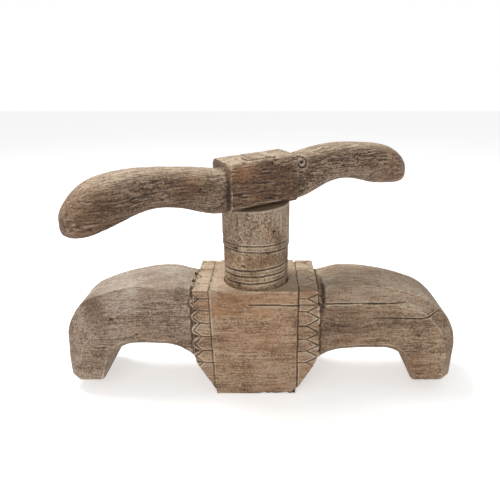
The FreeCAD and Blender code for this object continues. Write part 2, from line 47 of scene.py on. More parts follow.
def random_lattice(corner, seed):
    """A fixed random value from -1 to 1 for each whole-number corner."""
    mixed = corner[:, 0] * 73856093 ^ corner[:, 1] * 19349663 ^ corner[:, 2] * 83492791 ^ seed * 668265263
    mixed = (mixed ^ (mixed >> 13)) * 1274126177 & 0xFFFFFFFF
    mixed = (mixed ^ (mixed >> 16)) * 2246822519 & 0xFFFFFFFF
    return (mixed ^ (mixed >> 15)) / 2147483648.0 - 1.0


def lumps(points, size, seed):
    """Smooth random relief from -1 to 1, whose lumps are `size` millimetres long on each axis."""
    cell = points / np.array(size, float)
    low = np.floor(cell).astype(np.int64)
    part = cell - low
    part = part * part * (3.0 - 2.0 * part)
    total = np.zeros(len(points))
    for corner in itertools.product((0, 1), repeat=3):
        weight = np.prod(np.where(corner, part, 1.0 - part), axis=1)
        total += weight * random_lattice(low + np.array(corner), seed)
    return total


def layered(points, size, seed, layers=3):
    """lumps() at several sizes, each half as large and half as strong as the one before."""
    total = np.zeros(len(points))
    for layer in range(layers):
        total += lumps(points * 2.0 ** layer, size, seed + 17 * layer) * 0.5 ** layer
    return total / (2.0 - 0.5 ** (layers - 1))


def ramp(value, start, end):
    """0 at start, 1 at end, smooth between; start may be above end."""
    part = np.clip((value - start) / (end - start), 0.0, 1.0)
    return part * part * (3.0 - 2.0 * part)


def turned(points, degrees, centre=(0.0, 0.0)):
    """The points turned about a vertical line, so that a yawed piece lies along X."""
    angle = math.radians(degrees)
    x = points[:, 0] - centre[0]
    y = points[:, 1] - centre[1]
    across = np.cos(angle) * x + np.sin(angle) * y
    along = np.cos(angle) * y - np.sin(angle) * x
    return np.column_stack((across, along, points[:, 2]))


# ------------------------------------------------------------------ worn wood from the CAD solids

class Skin:
    """A fine even mesh over one CAD node, in millimetres, that can be worn, carved and finished."""

    def __init__(self, node, name, voxel):
        self.node = node
        self.piece = bpy.data.objects.new(name, nodes[node].data.copy())
        bpy.context.scene.collection.objects.link(self.piece)
        remesh = self.piece.modifiers.new("even", "REMESH")
        remesh.mode = "VOXEL"
        remesh.voxel_size = voxel * MM
        shown = self.piece.evaluated_get(bpy.context.evaluated_depsgraph_get())
        mesh = bpy.data.meshes.new_from_object(shown)
        self.piece.modifiers.clear()
        self.piece.data = mesh
        mesh.name = name
        self.mesh = mesh
        count = len(mesh.vertices)
        flat = np.empty(count * 3)
        mesh.vertices.foreach_get("co", flat)
        self.points = flat.reshape(-1, 3) / MM
        ends = np.empty(len(mesh.edges) * 2, np.int32)
        mesh.edges.foreach_get("vertices", ends)
        ends = ends.reshape(-1, 2)
        self.near = np.concatenate((ends[:, 0], ends[:, 1]))
        self.far = np.concatenate((ends[:, 1], ends[:, 0]))
        self.share = np.bincount(self.near, minlength=count)[:, None]
        self.spare = np.zeros(count, bool)

    def normals(self):
        self.store()
        flat = np.empty(len(self.mesh.vertices) * 3, np.float32)
        self.mesh.vertices.foreach_get("normal", flat)
        return flat.reshape(-1, 3).astype(float)

    def store(self):
        self.mesh.vertices.foreach_set("co", (self.points * MM).ravel())
        self.mesh.update()

    def relaxed(self, rounds):
        """The surface after `rounds` of averaging each vertex with its neighbours."""
        points = self.points
        for _ in range(rounds):
            mean = np.column_stack([
                np.bincount(self.near, points[self.far, axis], len(points)) for axis in range(3)
            ]) / self.share
            points = 0.45 * points + 0.55 * mean
        return points

    def wear_edges(self, rounds, amount):
        """Rounds the sharp edges, by an amount from 0 to 1 that may differ from place to place."""
        self.points = self.points + (self.relaxed(rounds) - self.points) * np.asarray(amount)[..., None]

    def cut(self, depth):
        """Moves the surface into the wood by `depth` millimetres. Wear never adds wood."""
        self.points = self.points - self.normals() * np.maximum(depth, 0.0)[:, None]

    def hew(self, place, facing):
        """Takes off all wood beyond a flat through `place`, on its side of the bore, as an adze does.

        Returns how near each vertex is to the edge of the cut, from 0 to 1.
        """
        facing = np.array(facing, float) / np.linalg.norm(facing)
        beyond = (self.points - np.array(place)) @ facing
        beyond = np.where(self.spare | (self.points[:, 0] * place[0] < 0.0), -9.0, beyond)
        self.points = self.points - np.maximum(beyond, 0.0)[:, None] * facing
        return np.exp(-(beyond / 1.2) ** 2)

    def mark(self, name, value):
        """Keeps a value on every vertex for the material to read."""
        layer = self.mesh.attributes.get(name) or self.mesh.attributes.new(name, "FLOAT", "POINT")
        layer.data.foreach_set("value", np.asarray(value, np.float32))

    def mark_relief(self):
        """Marks hollow, high in grooves and pits; worn, high on edges; upward, high on top faces."""
        normal = self.normals()
        self.mark("upward", normal[:, 2])
        fine = np.sum((self.relaxed(5) - self.points) * normal, axis=1)
        broad = np.sum((self.relaxed(28) - self.points) * normal, axis=1)
        self.mark("hollow", np.clip(fine * 5.0 + broad * 0.9, 0.0, 1.0))
        self.mark("worn", np.clip(-fine * 4.0 - broad * 0.7, 0.0, 1.0))

    def finish(self, material, body):
        self.store()
        self.mesh.polygons.foreach_set("use_smooth", np.ones(len(self.mesh.polygons), bool))
        self.mesh.materials.clear()
        self.mesh.materials.append(material)
        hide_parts(self.node)
        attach(self.piece, body)


# ------------------------------------------------------------------ materials

def linear(red, green, blue):
    """A colour given as 0-255 screen values, as the shader wants it."""
    return tuple(
        (value / 255 / 12.92 if value <= 10 else ((value / 255 + 0.055) / 1.055) ** 2.4)
        for value in (red, green, blue)
    ) + (1.0,)


class Shader:
    """Builds one node material, a node at a time."""

    def __init__(self, name):
        self.material = bpy.data.materials.new(name)
        self.material.use_nodes = True
        self.tree = self.material.node_tree
        self.surface = self.tree.nodes["Principled BSDF"]

    def link(self, value, socket):
        if isinstance(value, bpy.types.NodeSocket):
            self.tree.links.new(value, socket)
        else:
            socket.default_value = value

    def node(self, kind, output, inputs, **settings):
        made = self.tree.nodes.new(kind)
        for key, value in settings.items():
            setattr(made, key, value)
        for key, value in inputs.items():
            self.link(value, made.inputs[key])
        return made.outputs[output]

    def coordinates(self, turn=(0.0, 0.0, 0.0), stretch=(1.0, 1.0, 1.0)):
        place = self.node("ShaderNodeTexCoord", "Object", {})
        return self.stretched(self.node("ShaderNodeMapping", "Vector", {"Vector": place, "Rotation": turn}),
                              stretch)

    def stretched(self, vector, stretch):
        return self.node("ShaderNodeMapping", "Vector", {"Vector": vector, "Scale": stretch})

    def noise(self, vector, scale=1.0, detail=4.0, roughness=0.55, distortion=0.0, output="Fac"):
        return self.node("ShaderNodeTexNoise", output, {
            "Vector": vector, "Scale": scale, "Detail": detail,
            "Roughness": roughness, "Distortion": distortion,
        })

    def ramp(self, value, low, high, start=0.0, end=1.0):
        return self.node("ShaderNodeMapRange", "Result", {
            "Value": value, "From Min": low, "From Max": high, "To Min": start, "To Max": end,
        }, interpolation_type="SMOOTHSTEP")

    def math(self, operation, first, second=0.0):
        return self.node("ShaderNodeMath", "Value", {0: first, 1: second}, operation=operation)

    def mixed(self, share, first, second, blend="MIX"):
        made = self.tree.nodes.new("ShaderNodeMix")
        made.data_type = "RGBA"
        made.blend_type = blend
        made.clamp_factor = True
        self.link(share, made.inputs[0])
        self.link(first, made.inputs[6])
        self.link(second, made.inputs[7])
        return made.outputs[2]

    def marked(self, name):
        return self.node("ShaderNodeAttribute", "Fac", {}, attribute_name=name)

    def bump(self, height, strength, distance, under=None):
        inputs = {"Height": height, "Strength": strength, "Distance": distance}
        if under is not None:
            inputs["Normal"] = under
        return self.node("ShaderNodeBump", "Normal", inputs)

    def out(self, **inputs):
        for key, value in inputs.items():
            self.link(value, self.surface.inputs[key.replace("_", " ")])
        return self.material


def wood(name, tones, warm, turn=(0.0, 0.0, 0.0), warmth=0.5, carved=True, grit=1.0, wander=0.010,
         stripe=1.0):
    """Old bare wood with its fibres along local X: four tones from dark to pale, and a warm one.

    Streaks, fibres and flecks follow the grain; mottling and patches don't. `grit` is how rough the
    fine grain is, `wander` how far it drifts, and `stripe` how much of it follows the fibres. Carved
    pieces are also darker in their hollows, and have rubbed edges, stains mixed with painted shade,
    open splits, and upper faces painted paler, partly as bleaching and partly as painted top light.
    """
    dark, middle, pale, palest = tones
    shader = Shader(name)
    flat = shader.coordinates(turn)
    drift = shader.noise(flat, 14.0, 2.0, output="Color")
    wavy = shader.node("ShaderNodeVectorMath", "Vector", {
        0: drift, 1: (wander, wander, wander), 2: flat}, operation="MULTIPLY_ADD")

    def along_grain(length, width, detail, roughness):
        """Noise whose marks are `length` by `width` millimetres."""
        stretch = (1000.0 / length, 1000.0 / width, 1000.0 / width)
        return shader.noise(shader.stretched(wavy, stretch), 1.0, detail, roughness)

    def weighed(value, weight):
        return shader.math("MULTIPLY", shader.math("SUBTRACT", value, 0.5), weight)

    bands = along_grain(150.0, 11.0, 2.0, 0.5)
    streaks = along_grain(50.0, 2.4, 3.0, 0.6)
    fibres = along_grain(20.0, 0.85, 3.0, 0.7)
    flecks = along_grain(6.0, 1.2, 2.0, 0.5)
    mottling = shader.noise(flat, 520.0, 4.0, 0.75)
    patches = shader.noise(flat, 34.0, 5.0, 0.65)
    warm_spots = shader.noise(flat, 19.0, 3.0, 0.6, 0.3)

    tone = shader.math("ADD", 0.5, weighed(bands, 0.4))
    for value, weight in (
        (streaks, 0.6 * stripe),
        (fibres, 1.6 * grit * stripe),
        (mottling, 1.25 * grit * (2.0 - stripe)),
        (patches, 0.9),
    ):
        tone = shader.math("ADD", tone, weighed(value, weight))
    colour = shader.mixed(shader.ramp(tone, 0.22, 0.52), dark, middle)
    colour = shader.mixed(shader.ramp(tone, 0.46, 0.80), colour, pale)
    colour = shader.mixed(shader.ramp(warm_spots, 0.50, 0.72, 0.0, warmth), colour, warm)
    colour = shader.mixed(shader.ramp(flecks, 0.62, 0.76, 0.0, 0.6), colour, dark)
    grey = shader.mixed(1.0, colour, (0.86, 0.92, 1.0, 1.0), "MULTIPLY")
    colour = shader.mixed(shader.ramp(patches, 0.50, 0.66, 0.0, 0.8), colour, grey)
    height = shader.math("ADD", shader.math("MULTIPLY", streaks, 0.8), shader.math("MULTIPLY", fibres, 0.6))
    height = shader.math("ADD", height, shader.math("MULTIPLY", mottling, 0.5))
    height = shader.math("SUBTRACT", height, shader.ramp(flecks, 0.62, 0.76, 0.0, 0.25))
    roughness = shader.ramp(streaks, 0.35, 0.65, 0.82, 0.66)
    if carved:
        # upper faces painted paler: partly bleaching, partly painted top light
        bleached_and_top_lit = shader.mixed(shader.ramp(tone, 0.3, 0.8), pale, palest)
        colour = shader.mixed(shader.ramp(shader.marked("upward"), 0.3, 0.95, 0.0, 0.6), colour, bleached_and_top_lit)
        cooled = shader.mixed(1.0, colour, (0.90, 0.97, 1.12, 1.0), "MULTIPLY")
        colour = shader.mixed(shader.marked("cool"), colour, cooled)
        # this darkening carries real stains and painted shade alike
        stain_and_shade = shader.mixed(1.0, colour, (0.40, 0.33, 0.27, 1.0), "MULTIPLY")
        colour = shader.mixed(shader.marked("stain_and_shade"), colour, stain_and_shade)
        colour = shader.mixed(shader.marked("warmth"), colour, shader.mixed(0.6, colour, warm))
        rubbed = shader.mixed(0.45, colour, palest)
        on_edge = shader.ramp(shader.marked("worn"), 0.25, 1.0)
        rub = shader.math("MULTIPLY", on_edge, shader.ramp(patches, 0.35, 0.6))
        colour = shader.mixed(rub, colour, rubbed)
        # darkens the colour in grooves and recesses, by the hollow mark
        hollow_darkened = shader.mixed(1.0, colour, (0.34, 0.28, 0.23, 1.0), "MULTIPLY")
        colour = shader.mixed(shader.ramp(shader.marked("hollow"), 0.08, 0.9, 0.0, 0.85), colour, hollow_darkened)
        split = shader.mixed(1.0, colour, (0.25, 0.19, 0.14, 1.0), "MULTIPLY")
        colour = shader.mixed(shader.ramp(shader.marked("scar"), 0.0, 1.0), colour, split)
    grain = shader.bump(height, min(1.0, 0.85 * grit), 0.0012)
    return shader.out(Base_Color=colour, Roughness=roughness, Normal=grain)


def iron(name, bare, rust, rusted):
    """Forged iron: dark scale, rust in patches and a little bright rubbing."""
    shader = Shader(name)
    flat = shader.coordinates()
    patches = shader.noise(flat, 180.0, 5.0, 0.65)
    specks = shader.noise(flat, 900.0, 3.0, 0.6)
    cover = shader.ramp(patches, rusted - 0.08, rusted + 0.08)
    colour = shader.mixed(cover, bare, rust)
    colour = shader.mixed(shader.ramp(specks, 0.5, 0.75, 0.0, 0.6), colour, (0.03, 0.025, 0.022, 1.0))
    height = shader.math("ADD", patches, shader.math("MULTIPLY", specks, 0.4))
    return shader.out(
        Base_Color=colour,
        Metallic=shader.ramp(cover, 0.0, 1.0, 0.85, 0.1),
        Roughness=shader.ramp(patches, 0.3, 0.7, 0.42, 0.82),
        Normal=shader.bump(height, 0.5, 0.0005),
    )


body_wood = wood(
    "body_wood",
    (linear(90, 68, 49), linear(146, 119, 93), linear(181, 155, 127), linear(218, 203, 180)),
    linear(158, 112, 74), warmth=0.35, stripe=0.8)
shaft_wood = wood(
    "shaft_wood",
    (linear(88, 66, 46), linear(147, 123, 98), linear(188, 166, 140), linear(212, 195, 170)),
    linear(150, 114, 76), turn=(0.0, math.radians(90.0), 0.0), warmth=0.3, grit=1.25, wander=0.018,
    stripe=0.35)
handle_wood = wood(
    "handle_wood",
    (linear(62, 45, 33), linear(118, 95, 76), linear(168, 145, 121), linear(226, 207, 182)),
    linear(140, 94, 56), turn=(0.0, 0.0, math.radians(-HANDLE_YAW)), warmth=0.45, grit=1.6, wander=0.020)
wedge_wood = wood(
    "wedge_wood",
    (linear(110, 86, 66), linear(158, 134, 110), linear(192, 170, 144), linear(206, 186, 162)),
    linear(150, 110, 70), turn=(0.0, math.radians(90.0), 0.0), carved=False)
plate_iron = iron("plate_iron", linear(96, 92, 90), linear(104, 62, 38), 0.46)
nail_iron = iron("nail_iron", linear(80, 76, 74), linear(92, 52, 32), 0.42)

VOXEL = 0.85

# ------------------------------------------------------------------ carved lines

def line_distance(across, along, start, end):
    """Distance from each point of a face to one straight line drawn on it, in millimetres."""
    run = (end[0] - start[0], end[1] - start[1])
    length = run[0] ** 2 + run[1] ** 2
    part = ((across - start[0]) * run[0] + (along - start[1]) * run[1]) / length
    part = np.clip(part, 0.0, 1.0)
    return np.hypot(across - start[0] - part * run[0], along - start[1] - part * run[1])


def chain_distance(across, along, corners):
    """Distance to a line through several corners."""
    return np.min([line_distance(across, along, a, b) for a, b in zip(corners, corners[1:])], axis=0)


def inside_triangle(across, along, corners):
    """How deep each point lies inside a triangle, in millimetres; negative outside."""
    depth = np.full(len(across), 1e9)
    middle = np.mean(corners, axis=0)
    for start, end in zip(corners, corners[1:] + corners[:1]):
        side = np.array((-(end[1] - start[1]), end[0] - start[0]))
        side = side / np.linalg.norm(side)
        if np.dot(side, middle - start) < 0:
            side = -side
        depth = np.minimum(depth, (across - start[0]) * side[0] + (along - start[1]) * side[1])
    return depth


def band_pattern(across, along, lines, width, split, chip):
    """One carved band: level lines that fork near the outer edge, and chips cut out of the forks.

    across runs from the seam beside the block (0) to the band's outer edge (width). Each line forks at
    `split`; the forks of neighbouring lines meet at the outer edge. Returns the line's nearness (1 on
    a line, 0 beside it) and the chips' depth.
    """
    nearness = np.zeros(len(across))
    chips = np.zeros(len(across))
    ends = [2 * lines[0] - lines[1]] + list(lines) + [2 * lines[-1] - lines[-2]]
    for before, line, after in zip(ends, ends[1:], ends[2:]):
        fork = (split, line)
        low = (width - 1.0, (before + line) / 2)
        high = (width - 1.0, (line + after) / 2)
        distance = np.minimum(
            line_distance(across, along, (0.0, line), fork),
            chain_distance(across, along, [low, fork, high]))
        nearness = np.maximum(nearness, 1.0 - ramp(distance, 0.25, 1.05))
        tip = width - chip
        wedge = [(tip, line), (width + 3.0, line - chip * 0.72), (width + 3.0, line + chip * 0.72)]
        chips = np.maximum(chips, np.clip(inside_triangle(across, along, wedge), 0.0, 2.6))
    return nearness, chips


def patch(points, centre, reach):
    """1 at the centre of a soft patch, falling to 0 over `reach` millimetres on each axis."""
    return np.exp(-np.sum(((points - np.array(centre)) / np.array(reach)) ** 2, axis=1))


def pitted(points, shown, spread, pits):
    """Small pits given by x, z, reach and depth, `spread` times as wide as tall, where `shown` is above 0.

    Returns how deep the pits are and how dark, from 0 to 1.
    """
    depths = np.zeros(len(points))
    darks = np.zeros(len(points))
    for x, z, reach, depth in pits:
        off_x = (points[:, 0] - x) / (reach * spread)
        off_z = (points[:, 2] - z) / reach
        pit = shown * np.exp(-off_x ** 2 - off_z ** 2)
        depths = np.maximum(depths, depth * pit)
        darks = np.maximum(darks, ramp(pit, 0.35, 0.95))
    return depths, darks


# ------------------------------------------------------------------ press body

BLOCK_FACE = 36.0
BLOCK_TOP = 113.5
BLOCK_STEP = 32.5  # the block's top meets the bands' in the CAD solid just outside this
BORE_RIM = 33.5
BAND_FACE = 35.2
BAND_TOP = 114.5
BAND_START = 38.0
BAND_FILL_END = 62.5
BAND_EDGE = 63.6
GROOVE_FLOOR_FRONT = 32.5  # the CAD grooves are no deeper than these
GROOVE_FLOOR_TOP = 110.5
LEFT_SEAM_FOOT = 41.2
LEFT_SEAM_LEAN = 3.9
RIGHT_SEAM = 41.0
LEFT, RIGHT = -1, 1
SEAM_AT_TOP = {LEFT: 45.0, RIGHT: 41.0}
FRONT_LINES = {
    LEFT: (36.2, 49.2, 64.9, 79.2, 93.3, 105.6),
    RIGHT: (36.0, 48.7, 61.7, 76.8, 91.9, 105.4),
}
TOP_LINES = {LEFT: (-16.8, 1.8, 21.5, 42.9), RIGHT: (-23.4, -2.1, 18.9, 42.0)}
FORK = {LEFT: 10.0, RIGHT: 9.0}
CHIP = {LEFT: 9.0, RIGHT: 4.5}
SEAM_DARKNESS = {LEFT: 0.4, RIGHT: 0.8}


def seam_place(points):
    """How far from the middle the block ends and the band begins; the left seam leans inwards."""
    leaning = LEFT_SEAM_FOOT + LEFT_SEAM_LEAN * np.clip(points[:, 2] / BLOCK_TOP, 0.0, 1.0)
    return np.where(points[:, 0] < 0.0, leaning, RIGHT_SEAM)


body = Skin("press_body", "worn_press_body", VOXEL)
at = body.points

# the CAD solid's coarse grooves are filled here, and the full pattern is carved further down
beside = np.abs(at[:, 0])
in_block = beside < seam_place(at)
on_front = (beside > BAND_START) & (beside < BAND_FILL_END) & (at[:, 1] < -GROOVE_FLOOR_FRONT)
on_top = (beside > BLOCK_STEP) & (beside < BAND_FILL_END) & (at[:, 2] > GROOVE_FLOOR_TOP)
on_top &= (np.hypot(at[:, 0], at[:, 1]) > BORE_RIM) & ~on_front
at[on_front, 1] = -np.where(in_block, BLOCK_FACE, BAND_FACE)[on_front]
at[on_top, 2] = np.where(in_block, BLOCK_TOP, BAND_TOP)[on_top]
uneven = ramp(layered(at, (26.0, 26.0, 22.0), 3), -0.6, 0.5)
body.wear_edges(5, 0.4 + 0.6 * uneven)

# the CAD arms bend sharply where they rise from the bands, and a soft saddle takes the bend's place
saddle = np.exp(-((np.abs(body.points[:, 0]) - 84.0) / 13.0) ** 2) * (body.points[:, 2] > 96.0)
body.wear_edges(60, saddle)
facets = np.zeros(len(body.points))
body.spare = np.abs(body.points[:, 0]) < BAND_EDGE + 0.6
for place, facing in (
    # left arm, from the band outwards along its front top edge, then round the flank
    ((-100.0, -20.0, 112.8), (0.0, -0.18, 0.98)),
    ((-75.5, -32.5, 99.3), (0.27, -0.80, 0.62)),
    ((-92.0, -32.5, 101.4), (0.0, -0.82, 0.60)),
    ((-115.0, -32.5, 96.8), (-0.20, -0.80, 0.58)),
    ((-141.0, -32.5, 84.4), (-0.28, -0.80, 0.48)),
    ((-162.0, -32.5, 66.0), (-0.48, -0.78, 0.40)),
    ((-174.0, -32.5, 48.0), (-0.62, -0.76, 0.15)),
    # right arm
    ((110.0, -20.0, 112.8), (0.0, -0.18, 0.98)),
    ((100.0, -32.5, 100.5), (-0.02, -0.80, 0.60)),
    ((140.0, -32.5, 99.0), (0.10, -0.80, 0.59)),
    ((170.0, -32.5, 84.0), (0.45, -0.78, 0.44)),
    ((186.0, -32.5, 60.0), (0.66, -0.74, 0.20)),
    ((178.0, 10.0, 95.0), (0.64, -0.05, 0.76)),
):
    facets = np.maximum(facets, body.hew(place, facing))
facets *= np.abs(body.points[:, 0]) > BAND_EDGE + 1.0

at = body.points
normal = body.normals()
wobble = 0.9 * layered(at, (8.0, 8.0, 8.0), 61, 2)
deep = np.zeros(len(at))
scar = np.zeros(len(at))
fade = layered(at, (7.0, 7.0, 7.0), 63, 2)
for side in (LEFT, RIGHT):
    across = side * at[:, 0] - seam_place(at) + wobble * 0.6
    width = BAND_EDGE - SEAM_AT_TOP[side]
    here = (across > -1.5) & (side * at[:, 0] > 0.0) & (side * at[:, 0] < BAND_EDGE + 1.0)
    front = here * ramp(-normal[:, 1], 0.5, 0.8) * ramp(at[:, 2], 2.0, 6.0)
    back = here * ramp(normal[:, 1], 0.5, 0.8) * ramp(at[:, 2], 2.0, 6.0)
    crest = here * ramp(normal[:, 2], 0.5, 0.8) * (at[:, 2] > 108.0)
    for face, along, lines, dark in (
        (front, at[:, 2], FRONT_LINES[side], 0.5),
        (back, at[:, 2], FRONT_LINES[side], 0.5),
        (crest, at[:, 1], TOP_LINES[side], 0.7),
    ):
        nearness, chips = band_pattern(across, along + wobble, lines, width, FORK[side], CHIP[side])
        seam = 1.0 - ramp(np.abs(across - 0.4), 0.2, 1.1)
        mark = np.maximum(nearness * 0.9, seam * SEAM_DARKNESS[side])
        deep = np.maximum(deep, face * np.maximum(mark * 1.2, chips))
        chip_dark = ramp(chips, 0.2, 1.8) * 0.55
        scar = np.maximum(scar, face * np.maximum(mark * (dark + 0.45 * fade), chip_dark))

hewn = 0.5 * ramp(layered(at, (24.0, 30.0, 16.0), 11), -0.7, 0.9)
on_arm = ramp(np.abs(at[:, 0]), BAND_EDGE, BAND_EDGE + 4.0)
fissures = ramp(layered(at, (11.0, 2.0, 1.7), 37), 0.05, 0.5) * (0.15 + 0.85 * on_arm)
ridges = 0.14 * ramp(layered(at, (40.0, 1.9, 1.9), 23, 2), -0.8, 0.8)

# two splits that run along the grain, from the block through the right band into the right arm
facing = ramp(-normal[:, 1], 0.4, 0.8)
drift = 0.35 * lumps(at, (11.0, 400.0, 400.0), 71) + 0.25 * lumps(at, (3.0, 400.0, 400.0), 73)
for corners, start_x, end_x in (
    ([(-7.0, 99.6), (35.0, 99.0), (62.0, 98.8), (100.0, 99.6), (146.0, 99.2)], -7.0, 146.0),
    ([(118.0, 83.6), (163.0, 83.4), (186.0, 89.8)], 118.0, 192.0),
):
    reach = ramp(at[:, 0], start_x, start_x + 16.0) * ramp(at[:, 0], end_x, end_x - 24.0)
    distance = chain_distance(at[:, 0], at[:, 2] + drift, corners)
    gap = (0.35 + 0.65 * reach) * (reach > 0.0) * facing * (1.0 - ramp(distance, 0.15, 1.0))
    deep = np.maximum(deep, 1.3 * gap)
    scar = np.maximum(scar, 0.9 * gap)

# pits and a deep gouge down the outside of the right band
pit_depth, pit_dark = pitted(at, facing, 1.4, (
    (-142.0, 83.0, 1.5, 1.4), (-10.0, 58.0, 1.0, 0.5), (-118.0, 66.0, 1.4, 0.8),
))
deep = np.maximum(deep, pit_depth)
scar = np.maximum(scar, 0.75 * pit_dark)
gouge = np.exp(-((at[:, 0] - 65.5) / 2.6) ** 2)
gouge *= ramp(at[:, 2], 84.0, 101.0) * ramp(at[:, 1], 22.0, -12.0)
deep += 2.2 * gouge
# the gouge's darkening is painted shade in the crevice
scar = np.maximum(scar, 0.6 * ramp(gouge, 0.3, 0.9))

blotch = ramp(layered(at, (30.0, 30.0, 9.0), 83), -0.5, 0.5)
stain_and_shade = 0.75 * patch(at, (-163.0, -26.0, 94.0), (13.0, 26.0, 15.0))
stain_and_shade += 0.62 * patch(at, (98.0, -32.0, 72.0), (38.0, 16.0, 15.0)) * (0.4 + 0.6 * blotch)
stain_and_shade += 0.42 * patch(at, (82.0, -32.0, 92.0), (22.0, 14.0, 9.0))
stain_and_shade += 0.14 * ramp(at[:, 0], 60.0, 70.0) * ramp(at[:, 0], 190.0, 160.0) * facing
stain_and_shade += 0.35 * patch(at, (-100.0, -32.0, 70.0), (42.0, 14.0, 10.0)) * blotch
stain_and_shade += 0.45 * patch(at, (-5.0, -36.0, 105.0), (50.0, 10.0, 9.0)) * (0.4 + 0.6 * blotch)
# painted shade along the worn front bottom edge of the block's right half, in this patch and in the chips'
# darkening below
stain_and_shade += 0.55 * patch(at, (20.0, -36.0, 1.0), (24.0, 12.0, 3.5))
chipped_and_shaded = ramp(at[:, 2], 3.4, 0.6) * (at[:, 1] < -30.0)
chipped_and_shaded *= ramp(at[:, 0], 0.0, 12.0) * ramp(at[:, 0], 42.0, 40.0)
chipped_and_shaded += patch(at, (39.5, -36.0, 2.0), (3.0, 6.0, 4.0))
chipped_and_shaded *= ramp(layered(at, (6.0, 6.0, 3.0), 97), -0.7, 0.1)
deep += 1.2 * np.clip(chipped_and_shaded, 0.0, 1.0)
scar = np.maximum(scar, 0.9 * np.clip(chipped_and_shaded, 0.0, 1.0))
stain_and_shade += 0.13 * (np.abs(at[:, 0]) < BAND_EDGE) * facing + 0.12 * (np.abs(at[:, 0]) > BAND_EDGE)
# a little darker on the hewn facets, and painted shade on faces that turn downwards, as under the arch
stain_and_shade += 0.22 * facets + 0.40 * ramp(-normal[:, 2], 0.2, 0.8)
warmth = 0.8 * patch(at, (-32.0, -36.0, 92.0), (12.0, 12.0, 5.0))
warmth += 0.7 * patch(at, (8.0, -36.0, 92.0), (9.0, 12.0, 5.0))
warmth += 0.5 * blotch * patch(at, (0.0, -36.0, 60.0), (40.0, 12.0, 45.0))
warmth += 0.45 * patch(at, (0.0, -36.0, 106.0), (60.0, 12.0, 12.0))

body.cut(deep + hewn + ridges + 0.25 * fissures)
body.mark_relief()
body.mark("scar", np.maximum(scar, 0.28 * fissures))
body.mark("stain_and_shade", np.clip(stain_and_shade, 0.0, 1.0))
body.mark("warmth", np.clip(warmth, 0.0, 1.0))
greyed = np.where(at[:, 0] < 0.0, 1.0, 0.25)
body.mark("cool", ramp(np.abs(at[:, 0]), BAND_EDGE - 4.0, BAND_EDGE + 6.0) * greyed)
body.finish(body_wood, "base")

# ------------------------------------------------------------------ plunger shaft

NECK_START = 151.0
NECK_RADIUS = 33.0
SHAFT_RADIUS = 32.0
SHOULDER_LOW, SHOULDER_HIGH = 186.0, 200.0
SEEN_FROM, SEEN_TO = 112.0, 225.0  # below is the bore, and above is the tenon's end
# height, half width and tilt in degrees of each turned groove
RINGS = ((157.5, 0.7, 0.6), (151.2, 1.1, -1.2), (133.0, 1.0, 4.2), (126.6, 1.0, 2.6), (119.6, 1.0, 2.4))

shaft = Skin("plunger_shaft", "worn_plunger_shaft", VOXEL)
at = shaft.points
radius = np.hypot(at[:, 0], at[:, 1])
grooved = (at[:, 2] > SEEN_FROM) & (at[:, 2] < 162.0) & (radius > 28.0)
full = np.where(at[:, 2] > NECK_START, NECK_RADIUS, SHAFT_RADIUS)
at[grooved, :2] *= (full / np.maximum(radius, 1.0))[grooved, None]
shaft.wear_edges(3, 0.5 + 0.4 * ramp(layered(at, (14.0, 14.0, 14.0), 5), -0.5, 0.5))
at = shaft.points
deep = np.zeros(len(at))
scar = np.zeros(len(at))
outside = np.hypot(at[:, 0], at[:, 1]) > 29.0
fade = layered(at, (9.0, 9.0, 9.0), 69, 2)
wobble = 0.35 * layered(at, (12.0, 12.0, 12.0), 67, 2)
for height, half, tilt in RINGS:
    centre = height + at[:, 0] * math.tan(math.radians(tilt)) + wobble
    groove = outside * (1.0 - ramp(np.abs(at[:, 2] - centre), half * 0.25, half * 1.25))
    deep = np.maximum(deep, groove * 1.3)
    scar = np.maximum(scar, groove * (0.5 + 0.25 * fade))
pit_depth, pit_dark = pitted(at, at[:, 1] < 0.0, 1.5, (
    (-33.0, 158.0, 2.6, 1.6), (-19.3, 154.1, 2.2, 1.8), (-11.5, 137.0, 1.4, 1.5), (18.0, 171.0, 2.2, 0.8),
    (12.0, 150.0, 2.0, 0.8), (-16.0, 118.0, 2.0, 0.6),
))
deep = np.maximum(deep, pit_depth)
scar = np.maximum(scar, 0.7 * pit_dark)
ridges = 0.16 * ramp(layered(at, (1.9, 1.9, 34.0), 29, 2), -0.8, 0.8)
shaft.cut(deep + ridges)
shaft.mark_relief()
shaft.mark("scar", scar)
worn_low = ramp(at[:, 2], 152.0, 142.0)
streak = ramp(layered(at, (14.0, 14.0, 16.0), 91), -0.5, 0.6)
# painted shade on the neck's ledge under the head and on a band just below the head on the left, where the
# head shades the neck
ledge_in_painted_shade = (at[:, 2] > SHOULDER_LOW) * (at[:, 2] < SHOULDER_HIGH)
ledge_in_painted_shade = ledge_in_painted_shade * ramp(shaft.normals()[:, 2], 0.4, 0.8)
in_sight = (at[:, 2] > SEEN_FROM) * (at[:, 2] < SEEN_TO)
stain_and_shade = (0.12 + (0.35 + 0.35 * worn_low) * streak) * in_sight + 0.8 * ledge_in_painted_shade
stain_and_shade += 0.5 * ramp(at[:, 2], SHOULDER_LOW, SHOULDER_LOW + 5.0) * ramp(at[:, 0], 22.0, -20.0)
shaft.mark("stain_and_shade", np.clip(stain_and_shade, 0.0, 1.0))
shaft.mark("warmth", 0.25 * worn_low)
shaft.mark("cool", ramp(at[:, 2], 152.0, 165.0) * ramp(at[:, 0], 25.0, -10.0) * 0.6)
shaft.finish(shaft_wood, "plunger")

# ------------------------------------------------------------------ cross handle

# places on the handle, along it and upwards
KNOT = (41.5, 230.5)
PILOT_HOLE = (7.0, 233.0)
HEAD_END = 36.0

